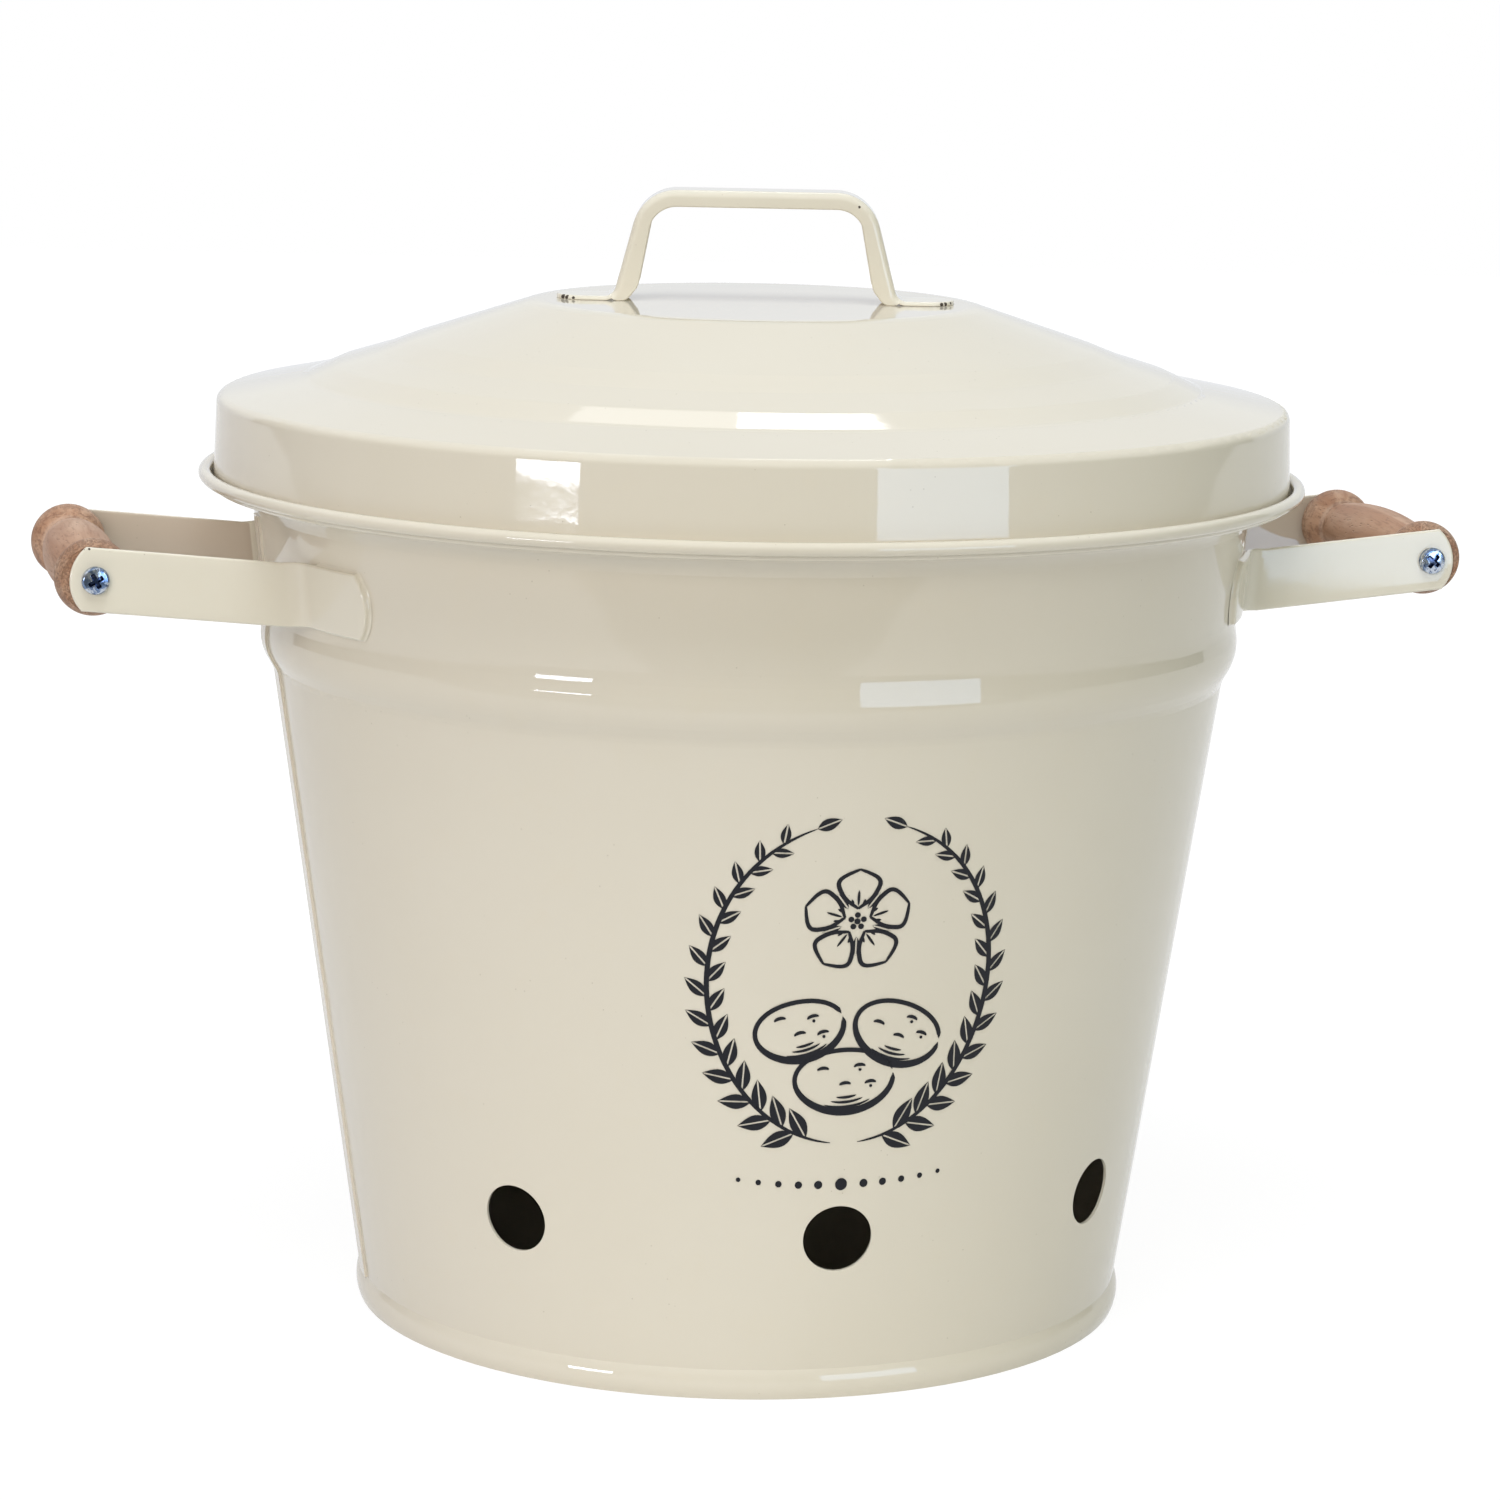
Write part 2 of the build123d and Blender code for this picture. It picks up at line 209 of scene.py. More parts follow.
class Finish(Shading):
    """A material, with the place on the piece to build its patterns from."""

    def __init__(self, name):
        self.material = bpy.data.materials.new(name)
        super().__init__(self.material)
        self.place = self.add("ShaderNodeTexCoord")["Object"]

    def noise(self, scale, detail=2.0, roughness=0.5, at=None, distortion=0.0):
        """Fractal noise from 0 to 1; scale is in cycles per metre."""
        values = {"Vector": at or self.place, "Scale": scale, "Detail": detail,
                  "Roughness": roughness, "Distortion": distortion}
        return self.add("ShaderNodeTexNoise", None, values)["Fac"]

    def cells(self, scale, at=None):
        """Distance to the nearest of scattered points, in cells."""
        values = {"Vector": at or self.place, "Scale": scale}
        return self.add("ShaderNodeTexVoronoi", {"feature": "F1"}, values)["Distance"]

    def relief(self, height, depth, under=None):
        """Normal of a surface whose height runs from 0 to 1 over depth metres."""
        values = {"Height": height, "Distance": depth, "Strength": 1.0}
        if under is not None:
            values["Normal"] = under
        return self.add("ShaderNodeBump", None, values)["Normal"]

    def close(self, **sockets):
        """Wire a Principled shader to the output. An underscore in a name is a space."""
        values = {key.replace("_", " "): value for key, value in sockets.items()}
        shader = self.add("ShaderNodeBsdfPrincipled", None, values)["BSDF"]
        self.add("ShaderNodeOutputMaterial", None, {"Surface": shader})
        return self.material


# --- surfaces --------------------------------------------------------------------------
def unit(vectors):
    """Rows of plane coordinates, each brought to length 1."""
    return vectors / np.linalg.norm(vectors, axis=1)[:, None]


def left_of(ways):
    """Directions a quarter turn to the left of the given ones."""
    return np.stack([-ways[:, 1], ways[:, 0]], axis=1)


def rounded(points, radii, arc_steps=10, run_step=4.0):
    """Polyline whose inner corners become arcs of the given radii. Returns the places and the
    unit headings along it, with straight runs divided about every run_step."""
    points = [np.array(point, float) for point in points]
    places, headings = [], []
    start = points[0]
    for before, corner, after, radius in zip(points, points[1:], points[2:], radii):
        arrive = (corner - before) / np.linalg.norm(corner - before)
        leave = (after - corner) / np.linalg.norm(after - corner)
        turn = atan2(arrive[0] * leave[1] - arrive[1] * leave[0], arrive @ leave)
        side = np.sign(turn)
        touch = corner - arrive * radius * tan(abs(turn) / 2)
        steps = max(int(np.linalg.norm(touch - start) / run_step), 1)
        run = np.linspace(0, 1, steps, endpoint=False)[:, None]
        places.append(start + (touch - start) * run)
        headings.append(np.repeat(arrive[None], steps, axis=0))
        centre = touch + side * radius * np.array([-arrive[1], arrive[0]])
        angles = atan2(arrive[1], arrive[0]) + np.linspace(0, turn, arc_steps)
        ways = np.stack([np.cos(angles), np.sin(angles)], axis=1)
        arc = centre - side * radius * left_of(ways)
        places.append(arc[:-1])
        headings.append(ways[:-1])
        start = arc[-1]
    last = points[-1] - start
    steps = max(int(np.linalg.norm(last) / run_step), 1)
    places.append(start + last * np.linspace(0, 1, steps + 1)[:, None])
    headings.append(np.repeat((last / np.linalg.norm(last))[None], steps + 1, axis=0))
    return np.concatenate(places), np.concatenate(headings)


def circle_through(first, middle, last, count):
    """Arc through three points of a plane, as count points from the first to the last."""
    a, b, c = (complex(*p) for p in (first, middle, last))
    w = (c - a) / (b - a)
    centre = (b - a) * (w - abs(w) ** 2) / (2j * w.imag) + a
    start, stop = np.angle(a - centre), np.angle(c - centre)
    over = np.angle(b - centre)
    if not min(start, stop) < over < max(start, stop):
        stop += 2 * pi if stop < start else -2 * pi
    turn = np.linspace(start, stop, count)
    arc = centre + abs(a - centre) * np.exp(1j * turn)
    return np.stack([arc.real, arc.imag], axis=1)


def quads(rows, columns, wrap_rows, wrap_columns):
    """Corner numbers of the quads of a grid, which may close on itself either way."""
    i = np.arange(rows if wrap_rows else rows - 1)[:, None]
    j = np.arange(columns if wrap_columns else columns - 1)[None, :]
    i1, j1 = (i + 1) % rows, (j + 1) % columns
    corners = [i * columns + j, i1 * columns + j, i1 * columns + j1, i * columns + j1]
    return np.stack([np.broadcast_to(c, (len(i), j.shape[1])) for c in corners], axis=-1)


def skin(name, grids, finish, wrap=(False, True), crease=35, hollow=None):
    """Mesh from grids of points in millimetres. Points that meet become one, so poles and
    seams close, and faces are turned outwards. hollow is 1 where the surface is sunk."""
    points, faces, base = [], [], 0
    for grid in grids:
        rows, columns = grid.shape[:2]
        points.append(grid.reshape(-1, 3) * MM)
        faces.append(quads(rows, columns, *wrap).reshape(-1, 4) + base)
        base += rows * columns
    mesh = bpy.data.meshes.new(name)
    mesh.from_pydata(np.concatenate(points).tolist(), [], np.concatenate(faces).tolist())
    if hollow is not None:
        values = mesh.attributes.new("hollow", "FLOAT", "POINT").data
        values.foreach_set("value", hollow.ravel())
    work = bmesh.new()
    work.from_mesh(mesh)
    bmesh.ops.remove_doubles(work, verts=work.verts, dist=2e-7)
    bmesh.ops.recalc_face_normals(work, faces=work.faces)
    work.to_mesh(mesh)
    work.free()
    mesh.shade_smooth()
    mesh.set_sharp_from_angle(angle=radians(crease))
    mesh.materials.append(finish)
    made = bpy.data.objects.new(name, mesh)
    bpy.context.collection.objects.link(made)
    return made


# --- side handles ----------------------------------------------------------------------
# Each handle is drawn in a frame of its own: x out along a plane square to the collar, y along
# the grip and z square to that plane.
lean = atan2(COLLAR_SLOPE, 1)
climb = radians(STRAP_CLIMB) + lean
collar_radius = NECK_RADIUS + COLLAR_SLOPE * (HANDLE_Z - NECK_Z)
half_strap = STRAP_WIDTH / 2
half_thick = STRAP_THICKNESS / 2
pad_mid = collar_radius * hypot(1, COLLAR_SLOPE) + PAD_GAP + half_thick
strap_mid = GRIP_HALF + half_thick


def bend_axis(inside):
    """Axis of a bend of a given inside radius that runs into both the arm and the pad."""
    middle = inside + half_thick
    return sqrt((pad_mid + middle) ** 2 - (strap_mid + middle) ** 2), strap_mid + middle


bare_x, bare_y = bend_axis(BARE_BEND)
bend_x, bend_y = bend_axis(STRAP_BEND)
bend_mid = STRAP_BEND + half_thick
bend_turn = atan2(bend_y, bend_x)
bend_length = (pi / 2 - bend_turn) * bend_mid
# The wider bend takes its length from the arm and the pad, whose far ends stay in place.
arm_rise = (bend_x - bare_x) * tan(climb)
grip_reach = HANDLE_REACH - (bend_x - bare_x) / cos(climb)
arm_length = grip_reach + STRAP_TAIL
pad_length = PAD_LENGTH - (bend_turn - atan2(bare_y, bare_x)) * pad_mid


def handle_place(local, side, end):
    """Millimetres of the bin from a handle's own frame. side is -1 for the left handle, and
    end is -1 for its front strap."""
    x, y, z = np.moveaxis(local, -1, 0)
    lift = HANDLE_Z + collar_radius * COLLAR_SLOPE
    return np.stack([side * (cos(lean) * x + sin(lean) * z), y * end,
                     lift - sin(lean) * x + cos(lean) * z], axis=-1)


def by_grip_axis(out, y, up):
    """Place beside the axis of the grip: out along the arms, y along the grip, and up."""
    run = grip_reach + out
    return np.stack([bend_x + run * cos(climb) - up * sin(climb), y,
                     arm_rise + run * sin(climb) + up * cos(climb)], axis=-1)


def along_strap(s, h, t):
    """Bent strip: s runs out along the arm from the bend, and back below 0 round the bend and
    over the pad, h is across the strip and t through it. The arm is straight and climbs, the
    bend is an arc, and the pad is an arc round the bin."""
    share = np.clip(s / arm_length, 0, 1)
    run = np.clip(s, 0, None) + h * tan(climb) * (1 - share)
    arm = np.stack([bend_x + run * cos(climb) - h * sin(climb), strap_mid + t,
                    arm_rise + run * sin(climb) + h * cos(climb)], axis=-1)
    back = np.clip(s, -bend_length, 0)
    turn = 1.5 * pi + back / bend_mid
    level = h / cos(climb)
    bend = np.stack([bend_x + (bend_mid - t) * np.cos(turn),
                     bend_y + (bend_mid - t) * np.sin(turn),
                     level + arm_rise * (1 + back / bend_length)], axis=-1)
    gone = -bend_length - np.clip(s, None, -bend_length)
    round_bin = bend_turn + gone / pad_mid
    pad = np.stack([(pad_mid + t) * np.cos(round_bin), (pad_mid + t) * np.sin(round_bin),
                    level - PAD_SINK * gone], axis=-1)
    s = s[..., None]
    return np.where(s >= 0, arm, np.where(s >= -bend_length, bend, pad))


def strap_outline(low, high):
    """Places round the flat strip from low to high: along its upper edge, round the end of the
    arm, back along the lower edge and round the end of the pad."""
    cut = STRAP_END - sqrt(STRAP_END ** 2 - half_strap ** 2)
    edge = np.unique(np.concatenate([
        np.linspace(low + cut, -bend_length, 22), np.linspace(-bend_length, 0, 14),
        np.linspace(0, high - cut, 22)]))
    upper = np.full(len(edge), half_strap)
    swing = np.linspace(1, -1, 25)[1:-1] * asin(half_strap / STRAP_END)
    out, up = STRAP_END * np.cos(swing), STRAP_END * np.sin(swing)
    s = np.concatenate([edge, high - STRAP_END + out, edge[::-1], low + STRAP_END - out])
    return np.stack([s, np.concatenate([upper, up, -upper, -up])], axis=1)


def strap_grid():
    """Plate with rounded ends and edges. Rows go round its outline; columns go from the middle
    of the outer face over the edge to the middle of the inner face. Round the pad the paint
    fills the gap behind the plate and runs out in a hollow fillet."""
    low, high = -bend_length - pad_length, arm_length
    spine_margin = 8.0          # ends of the strip to the ends of the line inside it
    weld_start, weld_run = 1.0, 4.0     # the fill begins behind the bend and grows over a run
    outline = strap_outline(low, high)
    s = outline[:, 0]
    ahead = np.roll(outline, -1, axis=0) - outline
    behind = outline - np.roll(outline, 1, axis=0)
    outward = left_of(unit(unit(ahead) + unit(behind)))
    spine = np.stack([np.clip(s, low + spine_margin, high - spine_margin),
                      np.zeros(len(s))], axis=1)
    rim = outline - outward * STRAP_EDGE
    flat = np.linspace(0, 1, 5)[:-1]
    face = spine[:, None] + (rim - spine)[:, None] * flat[None, :, None]
    swell = np.linspace(0, pi / 2, 6)
    inset = outward[:, None] * (STRAP_EDGE * (1 - np.sin(swell)))[None, :, None]
    welded = np.clip((-bend_length - weld_start - s) / weld_run, 0, 1)[:, None]
    over = outline[:, None] - inset
    under = outline[:, None] - inset * (1 - 2 * welded[..., None])
    both = np.concatenate([face, over, under[:, ::-1], face[:, ::-1]], axis=1)
    thick = half_thick - STRAP_EDGE * (1 - np.cos(swell))
    through = np.concatenate([np.full(len(flat), half_thick), thick])
    t = np.broadcast_to(np.concatenate([through, -through[::-1]]), both.shape[:2])
    t = np.where(t < 0, t * (1 + PAD_FILL / half_thick * welded), t)
    return both[..., 0], both[..., 1], t


def grip_grid():
    """Turned wood: radius over length, with a bead, a groove and half a barrel at each end. The
    end faces have a shallow ring pressed in near their edge."""
    groove = np.array([GROOVE_RADIUS, GROOVE_Y])
    bead = circle_through((GRIP_END_RADIUS, GRIP_HALF), (BEAD_RADIUS, BEAD_Y), groove, 22)
    barrel = circle_through(groove, (BARREL_RADIUS, 0.0), groove * (1, -1), 46)[1:-1]
    outline = np.concatenate([bead, barrel, bead[::-1] * (1, -1)])
    outline[:, 0] -= NICK_DEPTH * np.exp(-((np.abs(outline[:, 1]) - GROOVE_Y) / NICK_WIDTH) ** 2)
    cap = np.array([(0.0, GRIP_HALF), (8.6, GRIP_HALF), (9.15, GRIP_HALF - 0.15)])
    outline = np.concatenate([cap, outline, cap[::-1] * (1, -1)])
    radius, y = outline[:, :1], outline[:, 1:]
    turn = np.linspace(0, 2 * pi, 96, endpoint=False)
    out, up = radius * np.cos(turn), radius * np.sin(turn)
    return by_grip_axis(out, np.broadcast_to(y, out.shape), up)


def screw_grid(twist):
    """Pan head: a domed disc over polar rings with a tapered cross pressed into it."""
    top = np.linspace(0, SCREW_TOP, 26)
    swing = np.linspace(0.1, pi / 2, 9)
    ring = np.concatenate([top, SCREW_TOP + (SCREW_RADIUS - SCREW_TOP) * np.sin(swing),
                           [SCREW_RADIUS, SCREW_RADIUS]])
    rise = np.concatenate([SCREW_HEIGHT - SCREW_DOME * (top / SCREW_TOP) ** 2,
                           SCREW_HEIGHT - SCREW_DOME - SCREW_SHOULDER * (1 - np.cos(swing)),
                           [0.4, 0.0]])
    turn = np.linspace(0, 2 * pi, 96, endpoint=False)
    a = ring[:, None] * np.cos(turn)
    b = ring[:, None] * np.sin(turn)
    u = a * cos(twist) + b * sin(twist)
    v = -a * sin(twist) + b * cos(twist)
    depth = np.zeros_like(u)
    end_taper, side_taper = 0.7, 0.12
    for one, other in ((u, v), (v, u)):
        sink = np.clip((CROSS_REACH - np.abs(one)) / end_taper, 0, 1)
        wall = np.clip((CROSS_HALF + side_taper - np.abs(other)) / (2 * side_taper), 0, 1)
        depth = np.maximum(depth, CROSS_DEPTH * sink * wall)
    spots = by_grip_axis(a, GRIP_HALF + STRAP_THICKNESS + rise[:, None] - depth, b)
    return spots, np.clip(depth / 0.5, 0, 1)


# --- lid handle ------------------------------------------------------------------------
def bar_path():
    """Outer face of the web in its own plane, from the tip of one foot over the bar to the other:
    rows of places along it and the directions from there into the channel."""
    leg_top = LEG_FOOT - tan(LEG_LEAN) * (BAR_HEIGHT - BAR_SHEET)
    half_run = [(BAR_HALF_LENGTH, BAR_SHEET), (LEG_FOOT, BAR_SHEET), (leg_top, BAR_HEIGHT)]
    run = half_run + [(-x, z) for x, z in half_run[::-1]]
    bends = [FOOT_BEND, BAR_BEND, BAR_BEND, FOOT_BEND]
    places, ways = rounded(run, bends, arc_steps=14, run_step=1.5)
    swing = np.linspace(0, pi / 2, 14)
    tip = BAR_HALF_LENGTH - half_strap * (1 - np.cos(swing))
    keep = np.abs(places[:, 0]) < tip[-1] - 0.5
    ends = np.stack([tip, np.full(len(tip), BAR_SHEET)], axis=1)
    places = np.concatenate([ends, places[keep], ends[::-1] * (-1, 1)])
    level = np.tile([-1.0, 0.0], (len(tip), 1))
    return places, left_of(np.concatenate([level, ways[keep], level]))


def lid_handle_grid():
    """Channel carried along its path: a flat web with rounded shoulders and two flanges, which
    deepen down the legs and round off above the lid, so that the feet are flat tabs. Columns go
    over the outside from edge to edge and back through the channel."""
    places, inward = bar_path()
    x, z = places.T
    from_tip = np.clip(half_strap - (BAR_HALF_LENGTH - np.abs(x)), 0, half_strap)
    half = np.sqrt(np.clip(half_strap ** 2 - from_tip ** 2, 0, None))
    half = np.where(z > BAR_SHEET + 0.01, half_strap, half)

    leg_run, foot_start, foot_run = 26.0, 0.5, 5.5
    drop = np.where(inward[:, 1] < -0.05, z / np.clip(-inward[:, 1], 0.05, None), 99)
    wide = BAR_DEPTH + LEG_EXTRA * np.clip(1 - z / leg_run, 0, 1)
    lift = 1 - np.clip((z - BAR_SHEET - foot_start) / foot_run, 0, 1)
    arched = BAR_SHEET + (wide - BAR_SHEET) * np.sqrt(1 - lift ** 2)
    flange = np.clip(np.minimum(drop, arched), BAR_SHEET, None)

    shoulder = np.minimum(BAR_SHOULDER, flange - 0.15)
    soft = np.minimum(shoulder, half)[:, None]
    inner = np.clip(half - BAR_SHEET, 0, None)
    tuck = np.minimum(FLANGE_EDGE, (half - inner) / 2)[:, None]
    half, inner, flange = half[:, None], inner[:, None], flange[:, None]
    zero = np.zeros_like(half)
    swing = np.linspace(0, pi / 2, 10)
    outer_y = np.concatenate([half, half - soft * (1 - np.cos(swing)),
                              np.clip(half - soft - 0.35, 0, None)], axis=1)
    outer_n = np.concatenate([flange - FLANGE_EDGE, soft * (1 - np.sin(swing)), zero], axis=1)
    inner_y = np.concatenate([inner, inner, inner + tuck, half - tuck], axis=1)
    inner_n = np.concatenate([zero + BAR_SHEET, flange - FLANGE_EDGE, flange, flange], axis=1)
    y = np.concatenate([outer_y, -outer_y[:, ::-1], -inner_y[:, ::-1], inner_y], axis=1)
    n = np.concatenate([outer_n, outer_n[:, ::-1], inner_n[:, ::-1], inner_n], axis=1)
    n = np.minimum(n, flange)
    return lid_place(places[:, :1] + inward[:, :1] * n, y,
                     np.clip(places[:, 1:] + inward[:, 1:] * n, 0.0, None))


def lid_place(x, y, z):
    """Millimetres of the bin from the lid's own frame, with z from the crown."""
    return np.stack([x * cos(LID_TURN) - y * sin(LID_TURN),
                     x * sin(LID_TURN) + y * cos(LID_TURN), CROWN_Z + z], axis=-1)


# --- front print -----------------------------------------------------------------------
# Drawn flat about its middle: the first plane coordinate runs round the bin from its front and
# the second up it. A shape is a grid whose columns go across it.
def on_wall(flat):
    """Film of ink on the tapered wall; columns go over its face and back under it."""
    columns = np.concatenate([flat, flat[:, ::-1]], axis=1) * PRINT_SCALE
    film = np.concatenate([np.full(flat.shape[1], INK_FILM), np.zeros(flat.shape[1])])
    z = PRINT_Z + columns[..., 1]
    radius = FOOT_RADIUS + WALL_SLOPE * z + film
    turn = -pi / 2 + columns[..., 0] / (FOOT_RADIUS + WALL_SLOPE * PRINT_Z)
    return np.stack([radius * np.cos(turn), radius * np.sin(turn), z], axis=-1)


def heading(turn):
    """Direction of the plane at an angle."""
    return np.array([cos(turn), sin(turn)])


def stroke(path, width):
    """Pen line: its path moved to either side by a width that may change along it."""
    reach = np.broadcast_to(width, len(path))[:, None] * PEN_SHARE
    side = left_of(unit(np.gradient(path, axis=0))) * reach
    return np.stack([path + side, path - side], axis=1)


def taper(count, width, least=0.0):
    """Width that swells from one end of a pen line and thins again at the other."""
    return least + (width - least) * np.sin(np.linspace(0, pi, count)) ** 0.5


def leaf(base, turn, length, width):
    """Two halves of a pointed leaf with a bare line between them; each half runs from that
    line to a margin that swells as a sine."""
    t = np.linspace(0, 1, 12)
    swell = np.sin(pi * t ** 0.85) * width / 2
    bare = np.minimum(0.22, swell)
    spine = np.array(base) + t[:, None] * length * heading(turn)
    halves = []
    for hand in (1, -1):
        side = hand * heading(turn + pi / 2)
        rows = [spine + side * (bare + (swell - bare) * k)[:, None] for k in (0, 0.5, 1)]
        halves.append(np.stack(rows, axis=1))
    return halves


def dot(centre, radius):
    """Round spot, in rows across it."""
    t = np.linspace(-pi / 2, pi / 2, 15)
    across = np.array([-1, -0.5, 0, 0.5, 1])
    rows = np.stack([np.cos(t)[:, None] * across,
                     np.broadcast_to(np.sin(t)[:, None], (len(t), len(across)))], axis=-1)
    return np.array(centre) + radius * rows


def oval(centre, a, b, tilt, start, stop, count, dent=0.0):
    """Oval path between two turns, with a slow dent so that it looks grown, not drawn."""
    t = np.linspace(start, stop, count)
    r = 1 + dent * np.cos(2 * t + 0.7) + 0.6 * dent * np.sin(3 * t)
    x, y = a * r * np.cos(t), b * r * np.sin(t)
    return np.stack([centre[0] + x * cos(tilt) - y * sin(tilt),
                     centre[1] + x * sin(tilt) + y * cos(tilt)], axis=1)


def wreath():
    """Two leafy sprigs, mirror images that bend up from a gap at the bottom."""
    half_width, half_height, leaf_pairs, spread = 38, 44, 13, 0.72
    shapes = []
    for hand in (1, -1):
        sprig = oval((0, 3), half_width, half_height, 0, -pi / 2 + 0.10, pi / 2 - 0.30, 60)
        sprig[:, 0] *= hand
        shapes.append(stroke(sprig, taper(60, 1.1, 0.1)))
        for i in range(leaf_pairs):
            k = 4 + i * 4
            way = sprig[k + 1] - sprig[k - 1]
            size = 1 - 0.035 * i
            for lay, base in ((1, sprig[k + 2]), (-1, sprig[k])):
                turn = atan2(way[1], way[0]) + lay * spread
                shapes += leaf(base, turn, 9.6 * size, 4.4 * size)
        end = sprig[-1] - sprig[-3]
        shapes += leaf(sprig[-1], atan2(end[1], end[0]), 6.5, 3.2)
    return shapes


def flower(centre):
    """Potato flower: five petals with veins, a sepal in each gap, and spots in the middle."""
    petals = 5
    shapes = []
    for i in range(petals):
        turn = pi / 2 + i * 2 * pi / petals
        t = np.linspace(0, 1, 25)
        for hand in (1, -1):
            swell = hand * (5.6 * np.sin(pi * t ** 1.25) + 0.5 * np.sin(3 * pi * t))
            petal = (centre + (3.4 + 10.6 * t)[:, None] * heading(turn)
                     + swell[:, None] * heading(turn + pi / 2))
            shapes.append(stroke(petal, taper(25, 0.95, 0.45)))
        for lay, reach in ((0, 8.4), (0.28, 6.2), (-0.28, 6.2)):
            vein = centre + np.linspace(4.2, reach, 9)[:, None] * heading(turn + lay)
            shapes.append(stroke(vein, taper(9, 0.55)))
        gap = turn + pi / petals
        shapes += leaf(centre + 4.2 * heading(gap), gap, 5.2, 1.7)
        shapes.append(dot(centre + 1.7 * heading(turn), 0.75))
    shapes.append(dot(centre, 0.8))
    return shapes


def potato(centre, a, b, tilt):
    """Lumpy oval, drawn heavier below, with four eyes and three lines of shade."""
    start, stop, count = 0.2, 2 * pi + 0.1, 72
    swell = 1.0 + 0.7 * np.clip(-np.sin(np.linspace(start, stop, count)), 0, 1)
    swell *= np.clip(np.sin(np.linspace(0, pi, count)) * 12, 0, 1)
    shapes = [stroke(oval(centre, a, b, tilt, start, stop, count, 0.03), swell)]
    for k, (du, dv) in enumerate(((-0.45, 0.30), (0.30, 0.38), (0.02, -0.18), (0.55, -0.15))):
        eye = np.array(centre) + (du * a, dv * b)
        brow = oval(eye, 1.7, 0.9, tilt, 0.4, pi - 0.3, 11)
        shapes.append(stroke(brow, taper(11, 0.75)))
        if k % 2:
            shapes.append(dot(eye + (0.1, -0.5), 0.42))
    for k in range(3):
        hatch = oval(centre, a * (0.86 - 0.13 * k), b * (0.84 - 0.15 * k), tilt,
                     -2.1 + 0.12 * k, -0.9 - 0.12 * k, 19)
        shapes.append(stroke(hatch, taper(19, 0.6)))
    return shapes


def row_of_dots(height):
    """A large dot and five ever smaller ones to either side, in a slight curve."""
    shapes = [dot((0, height), 1.7)]
    for hand in (1, -1):
        for k in range(5):
            spot = (hand * (6.5 + 5.6 * k), height + 0.10 * k * k)
            shapes.append(dot(spot, 1.15 - 0.13 * k))
    return shapes


def front_print():
    """A wreath round a potato flower and three potatoes, over a row of dots."""
    shapes = wreath() + flower(np.array([0.0, 20.0]))
    for lie in (((-13.5, -9.5), 11.5, 8.2, 0.25), ((13.0, -11.0), 12.2, 8.4, -0.35),
                ((-0.8, -23.5), 13.2, 8.8, 0.05)):
        shapes += potato(*lie)
    shapes += row_of_dots(-52.5)
    return [on_wall(shape) for shape in shapes]


# --- finishes --------------------------------------------------------------------------
def chips(f, marks):
    """Where paint is knocked off: 1 inside any of the marks, each a place in millimetres and a
    radius, with ragged outlines."""
    ragged = f.noise(900.0, 3.0, 0.6) * 1.3
    bare = None
    for place, radius in marks:
        reach = f.place.away([c * MM for c in place]) / (radius * MM) + ragged
        one = reach.ramp(1.62, 1.50)
        bare = one if bare is None else bare.higher(one)
    return bare


def enamel(name, wave_depth, peel=0.05, cream=CREAM, inner=None, marks=()):
    """Glossy cream paint on thin sheet: faint clouding, dust specks, orange peel, slow waves and
    the odd chip down to dark steel. inner is a darker, warmer cream painted on a strap's face
    towards its grip: painted shade, with the warm bounce of the wood painted in."""
    f = Finish(name)
    cloud = f.noise(7.0, 3.0)
    tone = f.blend(cloud.ramp(0.35, 0.70) * 0.45, cream, CREAM_DEEP)
    mottle = f.noise(70.0, 4.0, 0.65)
    tone = f.blend(mottle.ramp(0.50, 0.75) * 0.16, tone, CREAM_WARM)
    # Painted shade: the faces towards the grip take a darker, warmer cream, standing in for shade
    # and the wood's warm bounce.
    if inner:
        from_middle = f.axes(f.place)[1].size()
        grip_side_shade = from_middle.ramp((GRIP_HALF + 0.35) * MM, (GRIP_HALF + 0.20) * MM)
        tone = f.blend(grip_side_shade, tone, inner)
    speck = f.cells(300.0).ramp(0.075, 0.045) * f.noise(45.0, 1.0).ramp(0.54, 0.60)
    tone = f.blend(speck * 0.35, tone, SPECK)
    rough = f.noise(26.0, 2.0) * 0.035 + 0.015
    waves = f.relief(f.noise(9.0, 1.0), wave_depth)
    height = f.noise(380.0, 2.0) * peel - speck * 0.12
    if marks:
        bare = chips(f, marks)
        tone = f.blend(bare, tone, BARE_STEEL)
        rough = rough + bare * 0.4
        height = height - bare * 0.9
    normal = f.relief(height, 0.00008, waves)
    return f.close(Base_Color=tone, Roughness=rough, Normal=normal, IOR=1.5)


